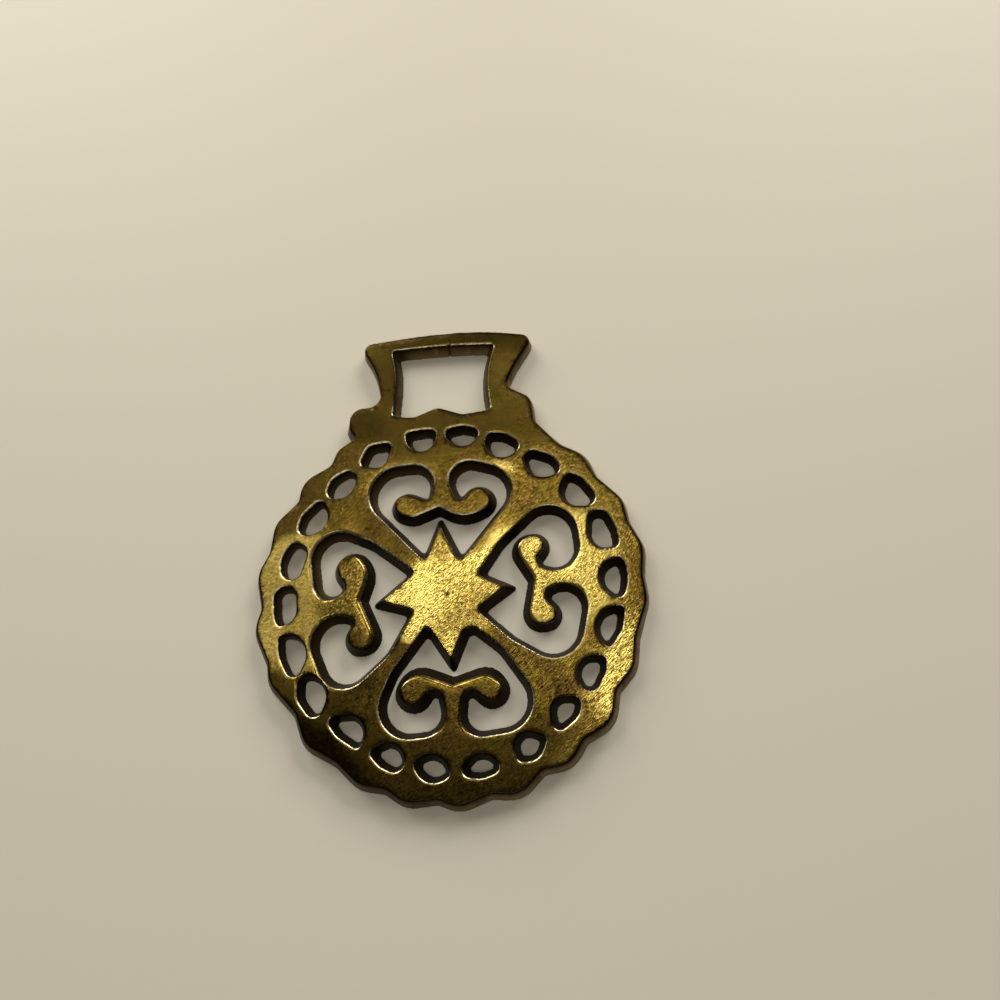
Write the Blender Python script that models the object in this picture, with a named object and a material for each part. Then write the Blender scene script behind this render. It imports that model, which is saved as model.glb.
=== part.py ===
"""Horse brass, a pierced casting that hangs from a strap: a strap loop on top of a round plate with a
wavy rim, a ring of drop-shaped openings inside the rim and four heart-shaped openings round an
eight-armed star. Millimetres in the sizes below; the plate lies on its flat back, with the centre of
the star's back at the origin and the strap loop along +Y."""

import math

import bmesh
import bpy

MM = 0.001
THICKNESS = 3.0
WALL_FLARE = 1.16  # how much further the metal reaches at the back of a wall than at its front
LOOP_FLARE = 0.6  # the same for the outside of the strap loop
SMALLEST_ROUND = 0.5  # radius left in a corner that the flare would close
TIP_ROUND = 0.5  # a point of the star is a round below this radius, and stays a point at the back
TIP_SPREAD = 1.6  # how much blunter such a point is at the back
CHORD_ERROR = 0.02  # how far a straight facet may stray from its round

# An outline is a belt round a row of circles, each (x, y, radius). The belt runs anticlockwise; it
# turns left round a positive radius and right round a negative one. A fourth number is extra flare.

# The wavy rim: each wave is (angle of its crest, distance of the crest, angle of the dip after it,
# distance of the dip), in degrees and millimetres about the star. A fifth number is extra flare.
CREST_ROUND = 4.8
DIP_ROUND = 2.5
WAVES = (
    (139.5, 38.85, 146.5, 37.35),
    (155.5, 38.75, 164.0, 37.6),
    (171.0, 38.5, 181.0, 36.95),
    (188.0, 38.1, 198.0, 36.85),
    (203.5, 37.5, 215.5, 35.9),
    (225.0, 37.6, 234.5, 36.5),
    (243.5, 37.55, 250.5, 36.7),
    (257.5, 37.75, 265.5, 36.75),
    (272.0, 37.75, 280.5, 36.65),
    (288.0, 37.75, 296.5, 36.15),
    (304.0, 37.45, 311.0, 36.35),
    (319.0, 37.55, 328.0, 35.7),
    (336.0, 36.75, 344.5, 35.9),
    (356.5, 37.35, 363.0, 37.0, -0.3),
    (372.0, 38.2, 380.0, 37.45, -0.3),
    (387.5, 38.45, 397.5, 37.35, -0.3),
    (406.0, 38.65, 413.0, 37.85),
)

# The outside of the strap loop, from the rim's right side over the top to its left side.
LOOP_OUTSIDE = (
    (20.5, 37.2, -2.8),  # hollow under the right shoulder
    (15.15, 40.15, 2.25),  # right shoulder
    (14.4, 45.35, -1.85),  # right neck
    (28.05, 41.6, -15.8),  # right side, bowed in
    (15.95, 55.2, 1.7),  # right ear
    (3.0, -1.8, 60.1),  # top edge, right part
    (1.5, -48.8, 107.1),  # top edge, left part
    (-16.55, 55.2, 1.75),  # left ear
    (-34.56, 42.7, -20.06),  # left side, bowed in
    (-17.42, 44.2, -2.92),  # left neck
    (-18.2, 38.4, 2.85),  # left shoulder
    (-19.4, 37.0, 1.6),
    (-21.2, 34.7, -1.2),  # hollow under the left shoulder
    (-20.3, 29.5, 3.6),  # first crest of the rim
    (-26.5, 30.0, -2.4),
)

# The slot that the strap passes through.
STRAP_SLOT = (
    (7.9, 39.9, 0.9),  # lower right corner
    (33.3, 45.3, -25.0),  # right side, bowed in
    (9.3, 54.3, 0.6),  # upper right corner
    (-0.3, -64.8, 120.0),  # bearing edge for the strap
    (-11.5, 54.2, 0.6),  # upper left corner
    (-35.4, 47.2, -24.2),  # left side, bowed in
    (-11.0, 39.5, 0.8),  # lower left corner
    (-7.8, 41.0, 2.6),
    (-2.3, 37.7, -2.5),  # hump in the lower edge
    (3.2, 41.2, 2.7),
)

# The four hearts, each written with the rim upwards and turned to its place. The row of circles goes
# up the right side of the heart, round the tongue that reaches in from the rim, down the left side
# and over the short point of the star.
NORTH_HEART = (
    (2.1, 8.1, 1.0),  # notch beside the point of the star
    (6.9, 21.2, 5.6),  # lobe
    (4.1, 23.6, 4.1),
    (2.2, 20.6, 1.2),  # inner end of the lobe
    (5.8, 19.3, -2.5),  # curl of the tongue
    (3.1, 21.7, -5.8),
    (-2.15, 17.6, 0.4),  # cleft of the tongue
    (-7.6, 18.9, -2.8),
    (-8.8, 18.8, -2.3),  # the other curl
    (-4.9, 21.1, 1.4),
    (-7.5, 23.2, 4.3),
    (-10.2, 21.2, 6.1),  # the other lobe
    (-5.2, 7.95, 0.6),  # the other notch
    (-2.0, 13.3, -0.4),  # point of the star
)
WEST_HEART = (
    (4.75, 8.25, 0.8),
    (4.3, 19.5, 8.0),
    (8.3, 22.2, 5.45),
    (3.5, 23.7, 3.25),
    (2.45, 22.15, 1.4),
    (6.1, 19.65, -2.75),
    (4.6, 20.65, -4.35),
    (-0.2, 16.4, 1.2),
    (-7.1, 17.3, -2.5),
    (-7.55, 17.7, -2.15),
    (-4.8, 20.1, 1.4),
    (-8.3, 21.8, 5.2),
    (-11.7, 20.3, 5.2),
    (-4.8, 19.7, 10.0),
    (-3.15, 8.0, 0.65),
    (-0.6, 12.8, -0.45),
)
SOUTH_HEART = (
    (4.7, 7.0, 0.8),
    (6.2, 17.5, 6.0),
    (7.8, 20.6, 5.7),
    (5.4, 21.9, 4.2),
    (3.3, 19.6, 1.65),
    (7.3, 18.05, -2.28, 0.3),
    (5.9, 18.2, -3.3, 0.6),
    (-0.2, 16.6, 0.4, 0.6),
    (-6.1, 17.9, -2.6, 0.6),
    (-7.4, 18.1, -1.95, 0.3),
    (-3.6, 20.0, 1.75),
    (-5.6, 22.3, 4.0),
    (-9.1, 20.0, 5.85),
    (-3.9, 16.2, 8.0),
    (-4.0, 8.6, 2.05),
    (0.0, 11.75, -0.45),
)
EAST_HEART = (
    (3.25, 6.4, 0.9),
    (2.7, 16.3, 8.0),
    (6.9, 19.3, 5.95),
    (3.3, 21.7, 4.45),
    (1.1, 20.15, 1.8),
    (4.5, 18.2, -2.0),
    (4.0, 17.4, -2.4, 0.2),
    (-2.1, 14.2, 2.0, 0.2),
    (-8.2, 15.9, -2.6, 0.2),
    (-9.1, 16.6, -1.95),
    (-6.05, 18.7, 1.65),
    (-8.8, 20.6, 4.85),
    (-11.4, 19.5, 5.7),
    (-4.8, 15.7, 8.0),
    (-4.0, 6.2, 0.62),
    (-1.0, 10.2, -0.4),
)
HEARTS = ((NORTH_HEART, 0), (WEST_HEART, 1), (SOUTH_HEART, 2), (EAST_HEART, 3))  # with quarter turns

# The ring of drops, clockwise from the top. Each was filed by hand, so it has its own flare, and a
# belt of four circles: a small one for each corner and a larger one for each of the two sides.
DROPS = (
    (0.95, ((-5.87, 33.52, 3.05), (-3.71, 34.3, 0.95), (-4.95, 29.5, 5.86), (-8.03, 34.07, 0.93))),
    (0.95, ((2.84, 34.55, 3.38), (4.62, 33.78, 1.47), (2.83, 34.5, 1.22), (0.79, 33.94, 1.44))),
    (0.95, ((11.03, 31.5, 3.43), (12.6, 30.63, 1.78), (9.95, 29.03, 4.59), (8.8, 32.86, 0.85))),
    (0.95, ((17.19, 27.55, 1.69), (19.32, 26.97, 3.72), (21.03, 25.06, 1.39), (18.83, 24.86, 3.59))),
    (1.0, ((25.84, 20.08, 3.43), (27.16, 18.56, 1.99), (25.63, 21.35, 1.68), (24.45, 22.52, 1.19))),
    (1.0, ((29.59, 13.4, 2.16), (30.63, 11.08, 3.46), (31.75, 8.95, 1.25), (29.1, 10.84, 3.62))),
    (1.2, ((31.94, -0.56, 1.53), (25.41, 2.28, 8.64), (32.3, 4.3, 1.47), (32.53, 1.94, 3.77))),
    (1.15, ((29.48, -10.2, 0.97), (28.42, -6.48, 4.05), (32.07, -4.63, 0.85), (31.28, -7.74, 4.0))),
    (1.15, ((25.52, -17.06, 2.03), (26.96, -15.1, 1.7), (27.61, -13.95, 1.18), (26.43, -15.95, 3.31))),
    (1.15, ((19.61, -24.42, 1.3), (19.76, -21.28, 3.78), (22.21, -21.22, 1.33), (20.84, -22.52, 2.66))),
    (1.1, ((12.53, -30.0, 0.85), (13.68, -27.95, 2.85), (16.04, -27.33, 0.88), (13.89, -28.4, 2.64))),
    (1.05, ((3.13, -31.9, 1.27), (4.79, -28.73, 4.63), (6.98, -31.43, 1.38), (5.29, -32.46, 3.22))),
    (1.1, ((-5.37, -31.04, 1.4), (-3.29, -30.42, 3.46), (-1.86, -32.04, 1.4), (-3.92, -32.62, 3.54))),
    (1.0, ((-10.53, -29.93, 1.92), (-11.56, -29.6, 2.76), (-13.86, -28.62, 0.93), (-10.93, -27.86, 3.61))),
    (0.95, ((-17.51, -26.67, 0.86), (-19.33, -24.96, 3.31), (-21.6, -22.92, 1.1), (-18.85, -22.9, 3.32))),
    (0.9, ((-27.43, -15.66, 1.59), (-25.31, -17.25, 3.72), (-25.68, -20.16, 1.63), (-27.42, -18.1, 4.03))),
    (0.5, ((-30.05, -12.8, 1.44), (-31.78, -10.33, 4.02), (-32.29, -7.26, 0.91), (-27.02, -8.58, 6.06))),
    (0.75, ((-32.95, -3.55, 1.03), (-32.86, -1.69, 2.77), (-32.48, 0.96, 2.17), (-28.79, -1.5, 5.65))),
    (0.45, ((-31.58, 6.53, 2.01), (-30.79, 9.63, 2.05), (-31.1, 10.72, 1.3), (-28.53, 7.57, 5.17))),
    (0.6, ((-29.14, 15.17, 1.46), (-28.59, 17.45, 3.8), (-26.58, 19.55, 1.04), (-26.86, 16.01, 3.41))),
    (0.6, ((-20.95, 25.31, 1.62), (-21.02, 22.63, 3.97), (-23.49, 22.61, 1.58), (-23.23, 24.94, 3.91))),
    (0.9, ((-17.13, 28.78, 1.18), (-15.04, 29.64, 2.2), (-13.1, 31.81, 0.98), (-15.34, 30.34, 2.19))),
)


def outside():
    """The circles of the outer edge: the strap loop, then the waves of the rim."""
    circles = [(x, y, radius, LOOP_FLARE - WALL_FLARE) for x, y, radius in LOOP_OUTSIDE[:11]]
    circles += LOOP_OUTSIDE[11:]
    for crest, crest_out, dip, dip_out, *extra in WAVES:
        for angle, distance, radius in (
            (crest, crest_out - CREST_ROUND, CREST_ROUND),
            (dip, dip_out + DIP_ROUND, -DIP_ROUND),
        ):
            turn = math.radians(angle)
            circles.append((distance * math.cos(turn), distance * math.sin(turn), radius, *extra))
    return circles


def turned(circles, quarters):
    """The circles turned about the star by a number of quarter turns to the left."""
    for _ in range(quarters):
        circles = [(-circle[1], circle[0], *circle[2:]) for circle in circles]
    return circles


def headings(circles):
    """The heading of the straight that leaves each circle for the next one."""
    result = []
    for start, end in zip(circles, [*circles[1:], circles[0]]):
        across, along = end[0] - start[0], end[1] - start[1]
        lean = math.asin((end[2] - start[2]) / math.hypot(across, along))
        result.append(math.atan2(along, across) - lean)
    return result


def flared(circles, flare):
    """The circles of the same outline at the back: further out by the flare, its corners still crisp."""
    leaving = headings(circles)
    result = []
    for index, (x, y, radius, *extra) in enumerate(circles):
        growth = flare + math.copysign(1, flare) * sum(extra)
        reach = radius + growth
        if abs(radius) < TIP_ROUND and abs(reach) > abs(radius):
            reach = radius * TIP_SPREAD
        elif radius > 0:
            reach = max(reach, min(radius, SMALLEST_ROUND))
        else:
            reach = min(reach, max(radius, -SMALLEST_ROUND))
        # Move the centre until the straights on both sides stand off by the whole flare.
        shift = reach - radius - growth
        before, after = leaving[index - 1], leaving[index]
        corner = math.sin(after - before)
        if abs(shift) > 1e-9 and abs(corner) > 1e-3:
            x += shift * (math.cos(after) - math.cos(before)) / corner
            y += shift * (math.sin(after) - math.sin(before)) / corner
        result.append((x, y, reach))
    return result


def belt(circles, steps=None):
    """The points of the belt, and how many steps it takes round each circle."""
    leaving = headings(circles)
    points, taken = [], []
    for index, circle in enumerate(circles):
        x, y, radius = circle[:3]
        before = leaving[index - 1]
        turn = math.remainder(leaving[index] - before, math.tau)
        if turn * radius < 0 and abs(turn) > 1:
            turn += math.copysign(math.tau, radius)
        if steps is None:
            facet = min(2 * math.acos(max(0.5, 1 - CHORD_ERROR / abs(radius))), math.radians(30))
            taken.append(max(1, math.ceil(abs(turn) / facet)))
        else:
            taken.append(steps[index])
        for step in range(taken[-1] + 1):
            heading = before + turn * step / taken[-1]
            points.append((x + radius * math.sin(heading), y - radius * math.cos(heading)))
    return points, taken


def add_wall(mesh, circles, flare):
    """One drafted wall, from the front outline to the wider outline at the back."""
    front, steps = belt(circles)
    back, _ = belt(flared(circles, flare), steps)
    levels = []
    for points, height in ((front, THICKNESS), (back, 0.0)):
        levels.append([mesh.verts.new((x * MM, y * MM, height * MM)) for x, y in points])
    upper, lower = levels
    for index in range(len(front)):
        mesh.faces.new((upper[index - 1], lower[index - 1], lower[index], upper[index]))


def horse_brass():
    """The whole casting: a wall round every outline, closed by a flat front and a flat back."""
    mesh = bmesh.new()
    add_wall(mesh, outside(), WALL_FLARE)
    add_wall(mesh, STRAP_SLOT, -WALL_FLARE)
    for heart, quarters in HEARTS:
        add_wall(mesh, turned(heart, quarters), -WALL_FLARE)
    for flare, drop in DROPS:
        add_wall(mesh, drop, -flare)
    bmesh.ops.remove_doubles(mesh, verts=mesh.verts, dist=0.002 * MM)
    for height in (THICKNESS, 0.0):
        ring = [
            edge
            for edge in mesh.edges
            if all(abs(vertex.co.z - height * MM) < 1e-7 for vertex in edge.verts)
        ]
        bmesh.ops.triangle_fill(mesh, use_beauty=True, edges=ring)
    bmesh.ops.recalc_face_normals(mesh, faces=mesh.faces)
    data = bpy.data.meshes.new("horse_brass")
    mesh.to_mesh(data)
    mesh.free()
    plate = bpy.data.objects.new("horse_brass", data)
    bpy.context.scene.collection.objects.link(plate)
    return plate


def aged_brass():
    """Cast brass, dulled with age."""
    material = bpy.data.materials.new("aged_brass")
    material.use_nodes = True
    surface = material.node_tree.nodes["Principled BSDF"]
    surface.inputs["Base Color"].default_value = (0.36, 0.25, 0.09, 1.0)
    surface.inputs["Metallic"].default_value = 1.0
    surface.inputs["Roughness"].default_value = 0.35
    return material


for leftover in list(bpy.data.objects):
    bpy.data.objects.remove(leftover)
horse_brass().data.materials.append(aged_brass())
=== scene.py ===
"""Looks of the horse brass: the worn and tarnished casting, on a pale floor under soft studio light.

It is laid out as a Blender add-on and run as a script. Lengths are in metres, in the frame of the CAD model:
the casting lies on its flat back, the star's centre is at the origin and the strap loop points along +Y."""

import math

import bmesh
import bpy
import numpy as np
from mathutils import Euler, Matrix, Vector, kdtree, noise


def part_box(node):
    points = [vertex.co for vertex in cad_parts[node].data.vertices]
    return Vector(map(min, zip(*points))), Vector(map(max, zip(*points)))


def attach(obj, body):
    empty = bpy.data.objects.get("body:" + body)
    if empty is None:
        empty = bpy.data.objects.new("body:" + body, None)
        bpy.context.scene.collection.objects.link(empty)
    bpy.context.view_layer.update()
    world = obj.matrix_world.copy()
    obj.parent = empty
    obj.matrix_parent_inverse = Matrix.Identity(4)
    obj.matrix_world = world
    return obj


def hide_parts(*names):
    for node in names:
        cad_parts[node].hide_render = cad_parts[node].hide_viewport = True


bl_info = {
    "name": "Horse Brass",
    "version": (1, 0, 0),
    "blender": (4, 5, 0),
    "location": "3D View > Sidebar > Horse Brass",
    "description": "Builds the worn brass casting and its studio",
    "category": "Add Mesh",
}

MM = 0.001
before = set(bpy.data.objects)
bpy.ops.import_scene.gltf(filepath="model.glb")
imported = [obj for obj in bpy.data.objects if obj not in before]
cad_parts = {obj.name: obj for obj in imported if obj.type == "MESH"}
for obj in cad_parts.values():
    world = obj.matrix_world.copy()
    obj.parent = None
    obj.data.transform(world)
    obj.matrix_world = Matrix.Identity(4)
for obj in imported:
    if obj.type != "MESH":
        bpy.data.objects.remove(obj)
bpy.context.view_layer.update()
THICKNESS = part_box("horse_brass")[1].z
TOP = THICKNESS / MM

FRONT_SKIN = 0.05  # what lies this close below the CAD's front belongs to the front, in millimetres
EDGE_STEP = 0.1 * MM  # spacing of the points along the edges of the front
MERGE = 0.002 * MM  # corners of the CAD solid that are nearer than this are one
TINY = 1e-6  # keeps a length from being nought

# How the whole front is worn, in millimetres.
LOWERED = 0.07  # how far it is worn down everywhere
WAVINESS = 0.05  # height of its wide waves
WAVE_SIZE = 7.0
ROUGHNESS = 0.009  # height of its cast roughness, where the grain is 1
ROUGH_SIZE = 0.9
WANDER = 0.8  # how far the borders of the painted places wander
WANDER_SIZE = 3.0

# The painted highlight along the edges that look at the star, and the painted shade along the others, in
# millimetres.
LINE_REACH = 0.35
WIDEST_LINE = 0.25  # how much further the painted highlight reaches where it is widest
EDGE_SHADE_REACH = 0.6
FAINTNESS = 0.8  # how much of the painted highlight is gone where it is faint

# The crown of the front beside an edge, in millimetres. It is wide where the front is filed round.
CROWN_REACH = 1.9
EDGE_CROWN_REACH = 0.6
EDGE_CROWN = 0.05
LOOP_CROWN = 0.06  # how much higher it is on the strap loop

# The strap loop and the wall that the strap bears on start at these places along Y, in millimetres.
LOOP_FOOT = 38.0
BEARING_FOOT = 54.0

# The nick in that wall, in millimetres.
NICK = 0.15  # its place along X
NICK_WIDTH = 0.22
NICK_DEPTH = 0.35

# Places where the edges that look towards the star are filed rounder than elsewhere: x, y and reach of
# the place, the rounding of the edges and how far the front is crowned, all in millimetres.
FILED_ROUND = (
    (-17.0, 0.0, 10.5, 1.0, 0.06),  # left tongue
    (17.0, 0.0, 10.0, 0.8, 0.1),  # right tongue
    (-1.0, 18.0, 9.0, 0.25, 0.03),  # top tongue
    (0.5, -17.5, 9.5, 0.8, 0.05),  # bottom tongue
    (-24.5, 9.0, 9.0, 0.6, 0.06),  # lobes of the left heart
    (-24.5, -9.0, 9.0, 0.6, 0.06),
    (-13.0, 24.0, 8.0, 0.5, 0.05),  # left lobe of the top heart
)

# The place where the painted highlight along the edges that look towards the star is widest: x, y, half
# length, half width in millimetres, turn in degrees and softness of the border.
WIDE_EDGES = (-16.0, 18.0, 34.0, 25.0, 45, 0.5)

# Places where the painted highlight along the edges is faint: x, y, half length, half width in
# millimetres, turn in degrees and softness of the border.
FAINT_EDGES = (
    (10.5, 16.5, 12.0, 4.0, 52, 0.4),  # right side of the top heart
    (-11.0, 47.5, 8.0, 3.5, 90, 0.4),  # sides of the strap slot
    (10.5, 47.5, 8.0, 3.5, 90, 0.4),
    (-11.0, 17.0, 10.0, 3.2, 128, 0.4),  # left side of the top heart
)

# Places where the front is dished: x, y, half length, half width in millimetres, turn in degrees,
# softness of the border, and the depth in millimetres.
DISHED = (
    (-14.0, 14.0, 11.0, 6.5, 135, 0.8, 0.15),  # upper left arm
    (-14.0, -14.0, 11.0, 6.5, 45, 0.7, 0.18),  # lower left arm
    (14.5, -13.5, 11.0, 6.5, 135, 0.9, 0.2),  # lower right arm
    (17.5, 19.0, 9.0, 6.5, 45, 0.8, 0.12),  # upper right arm
    (25.5, -13.5, 15.0, 11.0, 66, 1.0, 0.4),  # lower right, so that the rim leans out
    (-0.3, -0.2, 1.1, 0.6, 30, 1.0, 0.12),  # dint in the star
)

# How bright the face is, partly from real wear and tarnish and partly from painted sheen, highlights and
# dark reflections:
# rubbed bright (1), tarnished (0) or blackened (-1), painted in this order: x, y, half length, half width in
# millimetres, turn in degrees, softness of the border and the level.
WEAR_AND_SHEEN = (
    (0.0, 33.0, 24.0, 8.0, 0, 0.5, -0.32),  # below the strap loop
    (0.0, 26.5, 3.0, 4.0, 0, 0.8, -0.45),
    (-25.0, 24.0, 14.0, 7.0, 50, 0.6, -0.35),  # upper left rim
    (-18.0, 19.0, 6.0, 5.0, 45, 0.8, -0.45),
    # painted glint beside the left lobe of the top heart
    (-15.7, 22.7, 1.5, 1.2, 60, 1.0, 1.3),
    (11.5, 26.0, 5.0, 1.3, -38, 0.8, 0.9),  # painted highlight along the right lobe of the top heart
    (-18.0, 37.0, 7.0, 6.0, 0, 0.6, -0.55),  # left shoulder
    (-13.5, 49.0, 6.0, 10.0, 0, 0.5, -0.42),
    (0.0, 57.0, 22.0, 5.5, 0, 0.5, -0.56),
    (13.5, 47.5, 5.0, 8.5, 0, 0.5, 0.06),
    (15.5, 55.5, 3.5, 3.5, 0, 0.5, -0.38),
    (0.0, -27.0, 30.0, 16.0, 0, 0.4, -0.55),  # foot of the plate
    (0.0, -37.0, 24.0, 6.0, 0, 0.6, -0.72),
    (22.0, -30.0, 8.0, 4.5, 35, 0.6, 0.1),
    (-26.5, -32.0, 26.0, 10.0, -43, 0.35, -1.0),  # lower left rim, a painted dark reflection over the tarnish
    (17.0, 20.0, 9.0, 7.0, 45, 0.6, -0.4),  # upper right arm
    (-29.5, 0.0, 11.5, 14.8, 0, 0.14, 0.5),  # left rim
    (-24.5, 0.0, 6.0, 9.0, 0, 0.6, 0.45),
    (-35.5, -8.0, 4.0, 8.0, 0, 0.8, 0.75),
    (-20.5, 0.0, 7.0, 9.5, 0, 0.4, 0.1),  # left tongue
    (-21.0, 9.0, 2.8, 2.4, 30, 0.6, -0.6),
    (-18.5, -8.0, 3.0, 2.4, 0, 0.6, -0.5),
    (0.0, 19.5, 11.0, 6.0, 0, 0.4, -0.5),  # top tongue
    (0.0, -17.5, 11.0, 5.5, 0, 0.4, -0.42),  # bottom tongue
    (0.0, -15.8, 4.5, 1.7, 0, 0.8, 0.8),
    (-12.5, 12.5, 11.0, 5.0, 135, 0.5, -0.5),  # upper left arm
    (-12.5, -12.5, 11.0, 5.5, 45, 0.5, -0.42),  # lower left arm
    (-18.0, -19.0, 8.0, 6.0, 45, 0.6, -0.7),
    (13.5, -12.5, 13.0, 6.0, 135, 0.5, -0.5),  # lower right arm
    (16.0, -13.5, 4.0, 3.0, 45, 0.8, -0.45),
    (20.5, -18.5, 4.5, 3.0, 35, 0.8, -0.8),
    (24.5, 4.5, 9.5, 13.0, 0, 0.25, 1.0),  # right side of the ring
    (17.0, 2.0, 4.5, 11.0, 0, 0.3, 0.85),  # right tongue
    (35.5, 2.5, 3.2, 9.0, 0, 0.6, -0.15),  # right rim
    (36.0, 11.0, 3.5, 6.0, 12, 0.8, 0.2),
    (17.0, 9.0, 3.0, 3.0, 0, 0.8, 1.1),  # upper curl of the right tongue
    (31.5, -14.5, 5.5, 13.0, -26, 0.6, 0.92),  # lower right rim
    (29.5, -21.5, 3.5, 4.0, -40, 0.8, 1.1),
    (0.0, 0.0, 10.0, 10.0, 0, 0.1, 0.85),  # star
    (-5.5, 1.0, 5.0, 7.0, 0, 0.8, 1.15),
    (4.5, -3.5, 9.0, 6.5, 45, 0.9, 0.45),
    (0.5, -7.0, 5.0, 5.0, 0, 0.8, 0.5),
    (-0.6, 0.0, 1.1, 0.5, -55, 1.0, -0.8),  # dint in the star
    (-1.7, 10.0, 3.0, 4.0, 0, 0.5, 0.35),
    (-1.8, 12.8, 1.8, 2.0, 0, 0.8, 0.0),
    (-11.0, -0.5, 3.5, 2.5, 0, 0.3, 1.0),
    (0.0, -10.0, 2.5, 3.5, 0, 0.3, 0.9),
    (9.0, 9.6, 6.5, 2.5, 47, 0.6, 1.45),  # root of the upper right arm, painted highlight
    (-7.5, -7.0, 2.6, 4.0, 45, 0.15, 1.0),  # root of the lower left arm, painted reflection up to the crease
)

# How coarse the grain of the face is, painted in this order: x, y, half length, half width in
# millimetres, turn in degrees, softness of the border and the grain.
GRAIN = (
    (0.0, 0.0, 70.0, 70.0, 0, 0.1, 0.8),  # everywhere
    (0.0, 48.0, 32.0, 20.0, 0, 0.3, 0.2),  # strap loop
    (18.0, 37.0, 11.0, 6.0, -40, 0.5, 0.45),  # right shoulder
    (-28.0, 3.0, 15.0, 24.0, 0, 0.4, 0.65),  # left rim
    (-15.0, 15.0, 16.0, 9.0, 135, 0.5, 0.6),  # upper left arm
    (-22.0, 23.0, 10.0, 7.0, 45, 0.6, 0.9),  # upper left rim
    (0.0, 20.0, 12.0, 6.0, 0, 0.5, 1.0),  # top tongue
    (-20.0, 0.0, 7.0, 10.0, 0, 0.5, 1.15),  # left tongue
    (14.0, -14.0, 14.0, 9.0, 135, 0.5, 1.2),  # lower right arm
    (0.0, -33.0, 30.0, 12.0, 0, 0.5, 0.65),  # foot of the plate
    (-24.0, -25.0, 16.0, 12.0, -45, 0.5, 0.4),  # lower left rim
    (17.0, 22.0, 12.0, 8.0, 45, 0.5, 1.0),  # upper right arm
    (22.0, 3.0, 12.0, 14.0, 0, 0.4, 0.95),  # right side of the ring
    (36.0, 3.0, 5.0, 18.0, 4, 0.5, 1.1),  # right rim
    (31.0, -15.0, 7.0, 16.0, -26, 0.5, 1.7),  # lower right rim
    (0.0, 0.0, 13.0, 13.0, 0, 0.3, 1.25),  # star
    (-5.0, 1.0, 5.0, 6.0, 0, 0.5, 1.1),
)

# Cells per metre of the noises in the brass.
BRUSHED_CELLS = 3800.0  # fine grain, drawn out along BRUSHED_TURN
LUMP_CELLS = 1000.0
PIT_CELLS = 1300.0
BLOTCH_CELLS = 420.0  # where it is rubbed more or less
RUDDY_CELLS = 260.0  # ruddy patches in the tarnish
SKIN_CELLS = 900.0  # bare skin on the walls
BROKEN_CELLS = 1500.0  # breaks in the painted highlight along the edges
BRUSHED_TURN = math.radians(42)
BRUSHED_LENGTH = 3.0  # how much longer than wide the fine grain is

BUMP_STRENGTH = 0.6
BUMP_HEIGHT = 0.15 * MM  # height of the cast surface's bumps where they are 1

# The lamps: name, shape, place, width and height in metres, power in watts and colour. All of them
# are aimed at the star.
LAMPS = (
    ("overhead", "ELLIPSE", (-0.018, 0.157, 0.6), 0.24, 0.15, 0.3, (1.0, 0.95, 0.8)),
    ("front", "RECTANGLE", (-0.02, -0.3, 0.55), 0.32, 0.12, 0.42, (1.0, 0.98, 0.94)),
    ("window", "SQUARE", (-0.5, 0.78, 0.45), 0.7, 0.7, 7.8, (1.0, 0.97, 0.9)),
    ("side", "RECTANGLE", (0.45, 0.8, 0.42), 0.6, 0.41, 6.6, (1.0, 0.97, 0.9)),
)
ROOM_COLOUR = (1.0, 0.94, 0.8, 1.0)
ROOM_STRENGTH = 0.08
FLOOR_REACH = 1.5  # half the width of the floor
FLOOR_GAP = 0.02 * MM  # how far the floor is below the casting
SENSOR = 36.0  # width of the camera's sensor, in millimetres
NEAREST_SEEN = 0.005  # what is nearer to the camera is not seen, in metres


# ---------------------------------------------------------------- mesh


def casting_copy():
    """The CAD casting as one closed mesh."""
    mesh = bmesh.new()
    mesh.from_mesh(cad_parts["horse_brass"].data)
    bmesh.ops.remove_doubles(mesh, verts=mesh.verts, dist=MERGE)
    return mesh


def front_edges(mesh, spacing):
    """Points along the edges where the walls meet the front face, and whether each is on the outside."""
    rims = set()
    for edge in mesh.edges:
        flat = [face.normal.z > 0.99 for face in edge.link_faces]
        if sorted(flat) == [False, True]:
            rims.add(edge)
    loops = []
    while rims:
        loop, waiting = [], [rims.pop()]
        while waiting:
            edge = waiting.pop()
            loop.append(edge)
            for vertex in edge.verts:
                for other in rims.intersection(vertex.link_edges):
                    rims.remove(other)
                    waiting.append(other)
        loops.append(loop)
    points, outside = [], []
    for loop in loops:
        for edge in loop:
            start, end = (vertex.co for vertex in edge.verts)
            steps = max(1, math.ceil((end - start).length / spacing))
            points += [start.lerp(end, step / steps) for step in range(steps)]
            outside += [loop is max(loops, key=len)] * steps
    return points, outside


def even_mesh(mesh, size):
    """A new mesh of the same solid in even quads of one size."""
    data = bpy.data.meshes.new("horse_brass_even")
    mesh.to_mesh(data)
    body = bpy.data.objects.new("horse_brass_even", data)
    bpy.context.scene.collection.objects.link(body)
    remesh = body.modifiers.new("even", "REMESH")
    remesh.mode = "VOXEL"
    remesh.voxel_size = size
    graph = bpy.context.evaluated_depsgraph_get()
    result = bpy.data.meshes.new_from_object(body.evaluated_get(graph))
    bpy.data.objects.remove(body)
    return result


def thinned_mesh(data, share):
    """The mesh with its flattest triangles merged until the share is left."""
    body = bpy.data.objects.new("horse_brass_thin", data)
    bpy.context.scene.collection.objects.link(body)
    thin = body.modifiers.new("thin", "DECIMATE")
    thin.ratio = share
    graph = bpy.context.evaluated_depsgraph_get()
    result = bpy.data.meshes.new_from_object(body.evaluated_get(graph))
    bpy.data.objects.remove(body)
    return result


def rise(values, start, end):
    """0 as far as the start, 1 from the end on, and a straight slope between them."""
    return np.clip((values - start) / (end - start), 0.0, 1.0)


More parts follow.
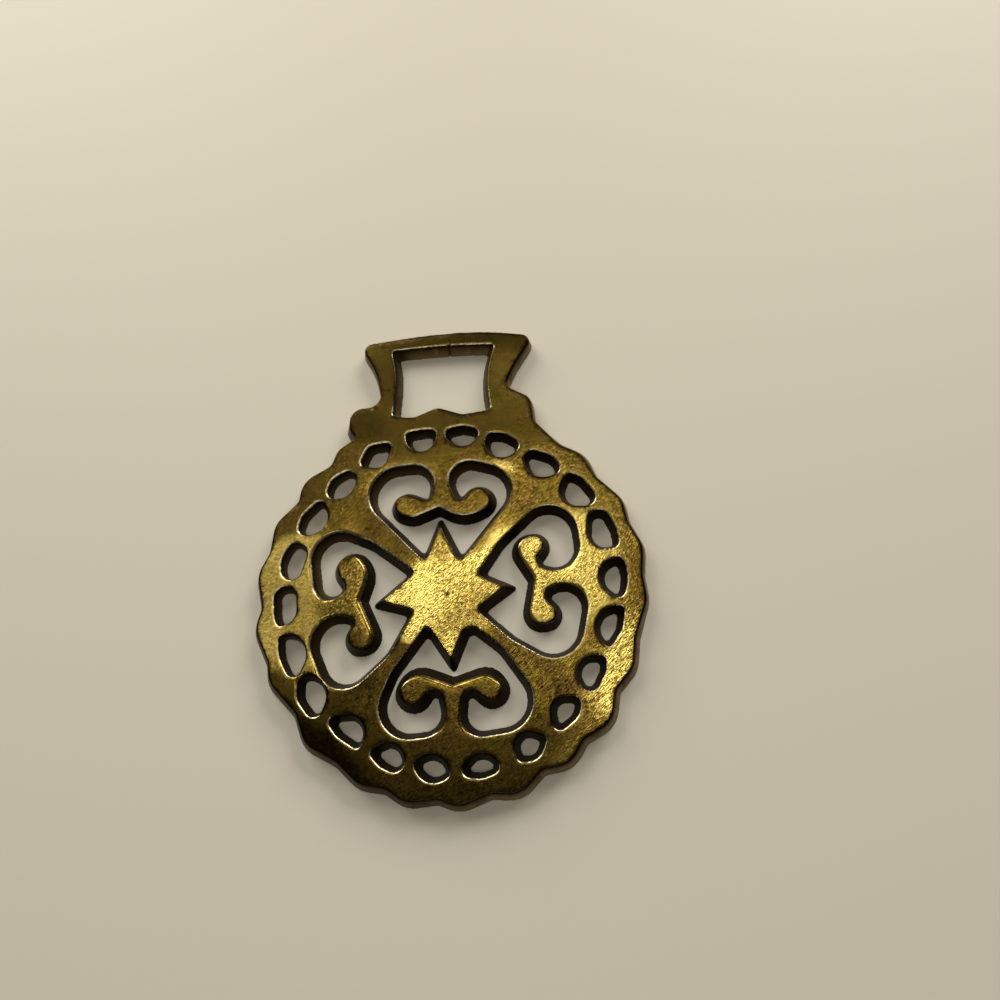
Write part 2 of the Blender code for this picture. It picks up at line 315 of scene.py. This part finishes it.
def inside_place(x, y, place):
    """How far points lie inside an oval place: 1 well inside it, 0 outside it."""
    middle_x, middle_y, half_length, half_width, turn, softness = place
    cos, sin = math.cos(math.radians(turn)), math.sin(math.radians(turn))
    along = ((x - middle_x) * cos + (y - middle_y) * sin) / half_length
    across = ((y - middle_y) * cos - (x - middle_x) * sin) / half_width
    share = np.clip((1 - np.hypot(along, across)) / softness, 0.0, 1.0)
    return share * share * (3 - 2 * share)


def painted(table, x, y):
    """The value at points in millimetres of a table of places painted one over the other."""
    values = np.zeros(len(x))
    for *place, value in table:
        values += (value - values) * inside_place(x, y, place)
    return values


def filed_round(x, y, towards, general):
    """The rounding of the edges and the crown of the front near points in millimetres."""
    rounding = general * (1 + 0.7 * towards)
    crown = np.zeros(len(x))
    for middle_x, middle_y, reach, edge, height in FILED_ROUND:
        near = inside_place(x, y, (middle_x, middle_y, reach, reach, 0, 0.2)) * towards
        rounding = np.maximum(rounding, general + (edge - general) * near)
        crown = np.maximum(crown, height * near)
    return rounding, crown


def noise_at(points, size, seed):
    """Smooth noise from -1 to 1 at points in millimetres."""
    offset = Vector((0.0, 0.0, 31.7 * seed))
    return np.array([noise.noise(Vector(point) / size + offset) for point in points])


def vertex_places(data):
    """The places of a mesh's vertices in millimetres, a row for each."""
    places = np.empty(len(data.vertices) * 3, np.float32)
    data.vertices.foreach_get("co", places)
    return places.reshape(-1, 3).astype(float) / MM


def nearest_edges(mesh, places):
    """The nearest point on an edge of the front to each place, and whether it is on the outside."""
    edges, outside = front_edges(mesh, EDGE_STEP)
    tree = kdtree.KDTree(len(edges))
    for index, point in enumerate(edges):
        tree.insert(point, index)
    tree.balance()
    found = [tree.find((*point[:2], THICKNESS))[1] for point in places * MM]
    return np.array([edges[index] for index in found]) / MM, np.array(outside)[found]


def edge_distance(places, nearest, front):
    """How far points of the front are from its nearest edge, and how much that edge looks at the star."""
    here = places[front, :2]
    away = nearest[front, :2] - here
    distance, facing = np.zeros(len(places)), np.zeros(len(places))
    distance[front] = np.hypot(*away.T)
    lengths = np.maximum(distance[front], TINY) * np.maximum(np.hypot(*here.T), TINY)
    facing[front] = -np.sum(away * here, axis=1) / lengths
    return distance, facing


def wall_tones(x, y, nearest, outer, bearing):
    """How much bare skin the walls show, less the painted shade towards the lower left and in the corners of
    the slot, and how much lighter they are towards the upper left, at points in millimetres.
    """
    # painted shade: the outer walls darker towards the lower left
    shaded = 1 - 0.6 * rise(x, 8, -7) * rise(y, LOOP_FOOT, LOOP_FOOT - 3)
    loop = np.minimum(rise(nearest[:, 1], LOOP_FOOT, LOOP_FOOT + 3), 0.4)
    loop += 0.6 * (nearest[:, 1] > BEARING_FOOT)
    skin = np.maximum(outer * shaded, loop)
    skin -= bearing * np.minimum(rise(abs(x), 8.2, 9.7), 0.8)  # painted shade in the corners of the slot
    # the walls of the openings lighter towards the upper left
    upper_left_lighter = 0.4 * rise(x, 12, 0) * rise(y, -12, 0) * rise(np.hypot(x, y), 21, 24)
    return skin, upper_left_lighter


def worn_depth(x, y, distance, rounding, crown, edge_crown):
    """How far the wear takes the front down at points in millimetres."""
    inset = np.clip(rounding - distance, 0.0, None)
    depth = rounding - np.sqrt(rounding**2 - inset**2)
    depth += crown * rise(distance, CROWN_REACH, 0.0) ** 2
    depth += edge_crown * rise(distance, EDGE_CROWN_REACH, 0.0) ** 2
    for *place, dish in DISHED:
        depth += dish * inside_place(x, y, place)
    return depth


def finished_mesh(data, most_triangles):
    """The mesh smoothed, thinned to the number of triangles and kept above the floor."""
    mesh = bmesh.new()
    mesh.from_mesh(data)
    bmesh.ops.smooth_vert(
        mesh, verts=mesh.verts, factor=0.5, use_axis_x=True, use_axis_y=True, use_axis_z=True
    )
    mesh.to_mesh(data)
    mesh.free()
    triangles = 2 * len(data.polygons)
    if triangles > most_triangles:
        data = thinned_mesh(data, most_triangles / triangles)
    for vertex in data.vertices:
        vertex.co.z = max(vertex.co.z, 0.0)
    data.name = "horse_brass_worn"
    data.shade_smooth()
    return data


def worn_casting(settings):
    """The casting with worn edges and a cast, hammered and pitted surface."""
    mesh = casting_copy()
    mesh.normal_update()
    data = even_mesh(mesh, settings.mesh_size)
    places = vertex_places(data)
    nearest, outer = nearest_edges(mesh, places)
    mesh.free()

    x, y, z = places.T.copy()
    front = z > TOP - FRONT_SKIN
    bearing = (nearest[:, 1] > BEARING_FOOT) * (1 - outer)
    nick = np.exp(-(((x - NICK) / NICK_WIDTH) ** 2)) * bearing
    skin, upper_left_lighter = wall_tones(x, y, nearest, outer, bearing)

    distance, facing = edge_distance(places, nearest, front)
    towards = rise(facing, -0.3, 0.3) * (1 - outer)
    # the painted highlight goes on the edges that look at the star, fainter in the faint places
    line = towards.copy()
    for place in FAINT_EDGES:
        line *= 1 - FAINTNESS * inside_place(x, y, place)
    line_reach = LINE_REACH + WIDEST_LINE * inside_place(x, y, WIDE_EDGES)
    reach = np.where(line > 0.25, line_reach, EDGE_SHADE_REACH)
    rounding, crown = filed_round(x, y, towards, settings.edge_round / MM)
    edge_crown = towards * (EDGE_CROWN + LOOP_CROWN * rise(y, 30, 42))

    flat = places * (1.0, 1.0, 0.0)
    waved_x = x + WANDER * noise_at(flat, WANDER_SIZE, 3)
    waved_y = y + WANDER * noise_at(flat, WANDER_SIZE, 4)
    wear_and_sheen, grain = painted(WEAR_AND_SHEEN, waved_x, waved_y), painted(GRAIN, waved_x, waved_y)
    relief = WAVINESS * noise_at(flat, WAVE_SIZE, 1) + ROUGHNESS * grain * noise_at(flat, ROUGH_SIZE, 2)
    depth = worn_depth(x, y, distance, rounding, crown, edge_crown)
    wall_top = TOP - LOWERED - rounding - crown - edge_crown
    places[:, 1] += NICK_DEPTH * nick
    places[:, 2] = np.where(front, TOP - LOWERED - depth + relief, np.clip(z * wall_top / TOP, 0.0, None))
    data.vertices.foreach_set("co", (places * MM).astype(np.float32).ravel())

    below = TOP - places[:, 2]
    for name, values in (
        ("wall", np.where(front, 0.0, 1.0)),
        # painted shade: the walls stay dark in the nick and along their top, 0.5 to 1.4 mm below the front
        ("outer", np.maximum(skin * (1 - nick) * rise(below, 0.5, 1.4), upper_left_lighter * rise(below, 0.8, 2.8))),
        ("edge", np.where(front, rise(distance, reach, 0.0), 1.0)),
        ("line", line * (1 - 0.6 * rise(rounding, 0.35, 0.75))),
        ("grain", grain),
        ("wear_and_sheen", wear_and_sheen),
    ):
        attribute = data.attributes.new(name, "FLOAT", "POINT")
        attribute.data.foreach_set("value", values.astype(np.float32))
    return finished_mesh(data, settings.most_triangles)


# ---------------------------------------------------------------- materials


def add_node(tree, kind, inputs=None, **properties):
    """A node with its properties and inputs set. An input is a value, or a socket to link from."""
    node = tree.nodes.new(kind)
    for name, value in properties.items():
        setattr(node, name, value)
    for name, value in (inputs or {}).items():
        if isinstance(value, bpy.types.NodeSocket):
            tree.links.new(value, node.inputs[name])
        else:
            node.inputs[name].default_value = value
    return node


def maths(tree, operation, first, second=0.0, third=0.0):
    """The output of one Math node."""
    return add_node(tree, "ShaderNodeMath", {0: first, 1: second, 2: third}, operation=operation).outputs[0]


def ramp(tree, value, low, high):
    """A value that rises from 0 to 1 while another goes from low to high."""
    node = add_node(tree, "ShaderNodeMapRange", {"Value": value, "From Min": low, "From Max": high})
    return node.outputs["Result"]


def noise_node(tree, places, scale, detail, roughness):
    """Noise from 0 to 1, in cells per metre."""
    inputs = {"Vector": places, "Scale": scale, "Detail": detail, "Roughness": roughness}
    return add_node(tree, "ShaderNodeTexNoise", inputs).outputs["Fac"]


def mixed_value(tree, share, first, second):
    """The number between two numbers."""
    return add_node(tree, "ShaderNodeMix", {"Factor": share, 2: first, 3: second}).outputs[0]


def mixed(tree, share, first, second):
    """The colour between two colours."""
    node = add_node(tree, "ShaderNodeMix", {"Factor": share}, data_type="RGBA")
    for socket, value in ((node.inputs[6], first), (node.inputs[7], second)):
        if isinstance(value, bpy.types.NodeSocket):
            tree.links.new(value, socket)
        else:
            socket.default_value = value
    return node.outputs[2]


def opaque(colour):
    """A colour as a shader socket takes it."""
    return (*colour, 1.0)


def wear_and_sheen_share(tree, wear_and_sheen, speckle, rough, blotches):
    """How bright the face is, from wear and tarnish and from painted sheen: below 0 it is blackened, at 0
    tarnished, and from 1 on bright.
    """
    contrast = maths(tree, "MULTIPLY_ADD", rough, 1.4, third=2.2)
    rubbed = maths(tree, "MULTIPLY_ADD", speckle, contrast, third=wear_and_sheen)
    return maths(tree, "ADD", rubbed, maths(tree, "MULTIPLY_ADD", blotches, 0.4, third=-0.2))


def edge_highlight_and_shade(tree, places, edge, line):
    """The painted highlight along the edges that look at the star, and the painted shade along the others.
    """
    broken = add_node(
        tree,
        "ShaderNodeMapRange",
        {
            "Value": noise_node(tree, places, BROKEN_CELLS, 3.0, 0.7),
            "From Min": 0.4,
            "From Max": 0.56,
            "To Min": 0.3,
        },
    ).outputs["Result"]
    bright = maths(tree, "MULTIPLY", ramp(tree, edge, 0.1, 0.6), line)
    bright = maths(tree, "MULTIPLY", bright, broken)
    painted_shade = maths(tree, "MULTIPLY", ramp(tree, edge, 0.03, 0.45), maths(tree, "SUBTRACT", 1.0, line))
    return bright, painted_shade


def mottled_tarnish(tree, places, settings):
    """Olive tarnish with ruddy patches."""
    patches = ramp(tree, noise_node(tree, places, RUDDY_CELLS, 3.0, 0.6), 0.42, 0.62)
    return mixed(tree, patches, opaque(settings.tarnish), opaque(settings.ruddy))


def face_colour(tree, settings, rubbed, blotches, pits, tarnish):
    """The colour of the front away from its edges."""
    dirt_and_shade = opaque(settings.dirt_and_shade)
    # below 0 the face takes the dirt colour: blackened tarnish, and on the lower left rim a painted dark
    # reflection
    dull = mixed(tree, ramp(tree, rubbed, 0.0, -1.0), tarnish, dirt_and_shade)
    bright = mixed(tree, ramp(tree, blotches, 0.5, 0.75), opaque(settings.brass), opaque(settings.copper))
    # painted highlight: paler brass where the face is brightest, standing in for over-bright reflection
    bright = mixed(tree, ramp(tree, rubbed, 0.9, 1.6), bright, opaque(settings.glare))
    face = mixed(tree, ramp(tree, rubbed, 0.0, 1.0), dull, bright)
    return mixed(tree, maths(tree, "MULTIPLY", pits, 0.75), face, dirt_and_shade)


def wall_colour(tree, places, settings, outer, tarnish):
    """The colour of the walls: dirt and painted shade, with mottled skin where they are bare."""
    bare = ramp(tree, noise_node(tree, places, SKIN_CELLS, 3.0, 0.6), 0.35, 0.6)
    return mixed(tree, outer, opaque(settings.dirt_and_shade), mixed(tree, bare, tarnish, opaque(settings.skin)))


def cast_height(tree, lumps, grain, pits, rough, coarse):
    """The height of the cast surface: lumps, fine grain and pits, more of it where the face is bright."""
    height = maths(tree, "MULTIPLY_ADD", lumps, 0.9, third=maths(tree, "MULTIPLY", grain, 1.5))
    height = maths(tree, "MULTIPLY_ADD", pits, -0.5, third=height)
    height = maths(tree, "MULTIPLY", height, maths(tree, "MULTIPLY_ADD", rough, 1.1, third=0.25))
    return maths(tree, "MULTIPLY", height, coarse)


def aged_brass(settings):
    """Brass that is bright where it is rubbed and where sheen and highlights are painted, olive where it is
    tarnished and black in the openings, with painted shade along some edges and walls.
    """
    material = bpy.data.materials.new("aged_brass")
    material.use_nodes = True
    tree = material.node_tree
    surface = tree.nodes["Principled BSDF"]
    places = add_node(tree, "ShaderNodeTexCoord").outputs["Object"]
    wall, outer, edge, line, coarse, wear_and_sheen = (
        add_node(tree, "ShaderNodeAttribute", attribute_name=name).outputs["Fac"]
        for name in ("wall", "outer", "edge", "line", "grain", "wear_and_sheen")
    )
    brushed = add_node(
        tree,
        "ShaderNodeMapping",
        {"Vector": places, "Rotation": (0.0, 0.0, BRUSHED_TURN), "Scale": (BRUSHED_LENGTH, 1.0, 1.0)},
        vector_type="TEXTURE",
    ).outputs["Vector"]
    grain = maths(tree, "SUBTRACT", noise_node(tree, brushed, BRUSHED_CELLS, 2.0, 0.6), 0.5)
    lumps = maths(tree, "SUBTRACT", noise_node(tree, places, LUMP_CELLS, 2.0, 0.5), 0.5)
    blotches = noise_node(tree, places, BLOTCH_CELLS, 3.0, 0.55)
    pits = ramp(tree, noise_node(tree, places, PIT_CELLS, 2.0, 0.5), 0.36, 0.28)
    rough = maths(tree, "POWER", maths(tree, "MAXIMUM", wear_and_sheen, 0.0), 1.5)
    speckle = maths(tree, "MULTIPLY", maths(tree, "MULTIPLY_ADD", lumps, 0.4, third=grain), coarse)

    rubbed = wear_and_sheen_share(tree, wear_and_sheen, speckle, rough, blotches)
    bright_line, edge_shade = edge_highlight_and_shade(tree, places, edge, line)
    tarnish = mottled_tarnish(tree, places, settings)
    front = face_colour(tree, settings, rubbed, blotches, pits, tarnish)
    # painted highlight: whitish line along the edges that look at the star
    front = mixed(tree, bright_line, front, opaque(settings.edge))
    # painted shade: dark band along the edges that face away from the star
    front = mixed(tree, edge_shade, front, opaque(settings.dirt_and_shade))
    side = wall_colour(tree, places, settings, outer, tarnish)
    tree.links.new(mixed(tree, wall, front, side), surface.inputs["Base Color"])

    surface.inputs["Specular IOR Level"].default_value = 0.1
    tree.links.new(mixed_value(tree, outer, 1.0, 0.3), surface.inputs["Metallic"])
    satin = maths(tree, "MULTIPLY", ramp(tree, coarse, 1.0, 0.5), ramp(tree, wear_and_sheen, 0.0, 0.4))
    roughness = mixed_value(tree, satin, 0.25, 0.4)
    roughness = mixed_value(tree, bright_line, roughness, 0.38)
    roughness = mixed_value(tree, wall, roughness, 0.5)
    tree.links.new(roughness, surface.inputs["Roughness"])
    bump = add_node(
        tree,
        "ShaderNodeBump",
        {
            "Height": cast_height(tree, lumps, grain, pits, rough, coarse),
            "Strength": BUMP_STRENGTH,
            "Distance": BUMP_HEIGHT,
        },
    )
    tree.links.new(bump.outputs["Normal"], surface.inputs["Normal"])
    return material


def pale_floor(settings):
    """Plain matt floor."""
    material = bpy.data.materials.new("pale_floor")
    material.use_nodes = True
    surface = material.node_tree.nodes["Principled BSDF"]
    surface.inputs["Base Color"].default_value = opaque(settings.floor)
    surface.inputs["Roughness"].default_value = 0.6
    surface.inputs["Specular IOR Level"].default_value = 0.3
    return material


# ---------------------------------------------------------------- studio


def soft_light(name, shape, place, width, height, power, colour):
    """One soft lamp, aimed at the star."""
    data = bpy.data.lights.new(name, "AREA")
    data.shape = shape
    data.size, data.size_y = width, height
    data.energy = power
    data.color = colour
    lamp = bpy.data.objects.new(name, data)
    bpy.context.scene.collection.objects.link(lamp)
    lamp.location = place
    lamp.rotation_euler = (-Vector(place)).to_track_quat("-Z", "Y").to_euler()


# ---------------------------------------------------------------- settings


class BrassSettings(bpy.types.PropertyGroup):
    """Sizes and colours of the casting."""

    mesh_size: bpy.props.FloatProperty(
        name="Mesh size", description="Size of the quads that the worn surface is shaped from",
        default=0.17 * MM, subtype="DISTANCE", unit="LENGTH", precision=5,
    )
    most_triangles: bpy.props.IntProperty(
        name="Most triangles", description="Triangles left in the finished casting", default=190000,
    )
    edge_round: bpy.props.FloatProperty(
        name="Edge rounding", description="How far the edges of the front face are worn round",
        default=0.14 * MM, subtype="DISTANCE", unit="LENGTH", precision=5,
    )
    brass: bpy.props.FloatVectorProperty(
        name="Rubbed brass", description="Colour of the brass where it is rubbed bright",
        default=(0.9, 0.68, 0.16), subtype="COLOR", size=3, min=0.0, max=1.0,
    )
    copper: bpy.props.FloatVectorProperty(
        name="Ruddy brass", description="Colour of the ruddier patches in the rubbed brass",
        default=(0.8, 0.52, 0.17), subtype="COLOR", size=3, min=0.0, max=1.0,
    )
    # painted highlight: the paler brass where the face is brightest stands in for over-bright reflection
    glare: bpy.props.FloatVectorProperty(
        name="Brightest brass", description="Colour of the brass where it is rubbed brightest",
        default=(1.0, 0.8, 0.22), subtype="COLOR", size=3, min=0.0, max=1.0,
    )
    # painted highlight: whitish colour of the line along the edges that look at the star
    edge: bpy.props.FloatVectorProperty(
        name="Edges", description="Colour of the polished edges",
        default=(1.0, 0.9, 0.62), subtype="COLOR", size=3, min=0.0, max=1.0,
    )
    tarnish: bpy.props.FloatVectorProperty(
        name="Tarnish", description="Colour of the brass where it is tarnished",
        default=(0.25, 0.175, 0.026), subtype="COLOR", size=3, min=0.0, max=1.0,
    )
    ruddy: bpy.props.FloatVectorProperty(
        name="Ruddy tarnish", description="Colour of the ruddier patches in the tarnish",
        default=(0.27, 0.165, 0.034), subtype="COLOR", size=3, min=0.0, max=1.0,
    )
    skin: bpy.props.FloatVectorProperty(
        name="Casting skin", description="Colour of the wall round the outside",
        default=(0.24, 0.175, 0.115), subtype="COLOR", size=3, min=0.0, max=1.0,
    )
    # dirt on the walls and in the pits, also used for the painted shade along edges and walls and the
    # painted dark reflection of the lower left rim
    dirt_and_shade: bpy.props.FloatVectorProperty(
        name="Dirt", description="Colour of the walls of the openings",
        default=(0.024, 0.014, 0.0045), subtype="COLOR", size=3, min=0.0, max=1.0,
    )


class StudioSettings(bpy.types.PropertyGroup):
    """Floor, light and camera."""

    floor: bpy.props.FloatVectorProperty(
        name="Floor", description="Colour of the floor",
        default=(0.72, 0.67, 0.56), subtype="COLOR", size=3, min=0.0, max=1.0,
    )
    camera_place: bpy.props.FloatVectorProperty(
        name="Camera place", description="Where the camera stands",
        default=(0.018535, -0.033261, 0.1437), subtype="TRANSLATION", unit="LENGTH", size=3, precision=5,
    )
    camera_turn: bpy.props.FloatVectorProperty(
        name="Camera turn", description="How the camera is turned from looking straight down",
        default=(math.radians(20.1116), math.radians(4.0766), math.radians(-1.9)),
        subtype="EULER", unit="ROTATION", size=3,
    )
    lens: bpy.props.FloatProperty(
        name="Lens", description="Focal length on a 36 mm sensor, in millimetres",
        default=27.036, unit="CAMERA",
    )


# ---------------------------------------------------------------- operators


class MESH_OT_horse_brass(bpy.types.Operator):
    """Build the worn casting in place of the CAD solid"""

    bl_idname = "mesh.horse_brass"
    bl_label = "Horse Brass"

    def execute(self, context):
        settings = context.scene.horse_brass
        casting = bpy.data.objects.new("horse_brass_worn", worn_casting(settings))
        context.scene.collection.objects.link(casting)
        casting.data.materials.append(aged_brass(settings))
        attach(casting, "root")
        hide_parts("horse_brass")
        return {"FINISHED"}


class SCENE_OT_studio(bpy.types.Operator):
    """Build the floor, the lights and the camera"""

    bl_idname = "scene.horse_brass_studio"
    bl_label = "Studio"

    def execute(self, context):
        settings = context.scene.horse_brass_studio
        scene = context.scene
        mesh = bmesh.new()
        bmesh.ops.create_grid(mesh, x_segments=1, y_segments=1, size=FLOOR_REACH)
        bmesh.ops.translate(mesh, verts=mesh.verts, vec=(0.0, 0.0, -FLOOR_GAP))
        data = bpy.data.meshes.new("floor")
        mesh.to_mesh(data)
        mesh.free()
        floor = bpy.data.objects.new("floor", data)
        scene.collection.objects.link(floor)
        data.materials.append(pale_floor(settings))

        for lamp in LAMPS:
            soft_light(*lamp)

        world = bpy.data.worlds.new("studio")
        scene.world = world
        world.use_nodes = True
        world.node_tree.nodes["Background"].inputs["Color"].default_value = ROOM_COLOUR
        world.node_tree.nodes["Background"].inputs["Strength"].default_value = ROOM_STRENGTH

        lens = bpy.data.cameras.new("camera")
        lens.lens = settings.lens
        lens.sensor_width = SENSOR
        lens.clip_start = NEAREST_SEEN
        camera = bpy.data.objects.new("camera", lens)
        scene.collection.objects.link(camera)
        camera.location = settings.camera_place
        camera.rotation_euler = Euler(settings.camera_turn)
        scene.camera = camera
        scene.view_settings.view_transform = "Standard"
        return {"FINISHED"}


class VIEW3D_PT_horse_brass(bpy.types.Panel):
    """Lists the pieces and their settings"""

    bl_idname = "VIEW3D_PT_horse_brass"
    bl_label = "Horse Brass"
    bl_space_type = "VIEW_3D"
    bl_region_type = "UI"
    bl_category = "Horse Brass"

    def draw(self, context):
        for settings, operator in (
            (context.scene.horse_brass, MESH_OT_horse_brass),
            (context.scene.horse_brass_studio, SCENE_OT_studio),
        ):
            box = self.layout.box()
            for name in settings.__annotations__:
                box.prop(settings, name)
            box.operator(operator.bl_idname)


CLASSES = (BrassSettings, StudioSettings, MESH_OT_horse_brass, SCENE_OT_studio, VIEW3D_PT_horse_brass)


def register():
    """Adds the classes and their settings to Blender."""
    for made in CLASSES:
        bpy.utils.register_class(made)
    bpy.types.Scene.horse_brass = bpy.props.PointerProperty(type=BrassSettings)
    bpy.types.Scene.horse_brass_studio = bpy.props.PointerProperty(type=StudioSettings)


def unregister():
    """Takes them out again."""
    del bpy.types.Scene.horse_brass_studio
    del bpy.types.Scene.horse_brass
    for made in reversed(CLASSES):
        bpy.utils.unregister_class(made)


def main():
    """Builds everything."""
    register()
    bpy.ops.mesh.horse_brass()
    bpy.ops.scene.horse_brass_studio()


if __name__ == "__main__":
    main()
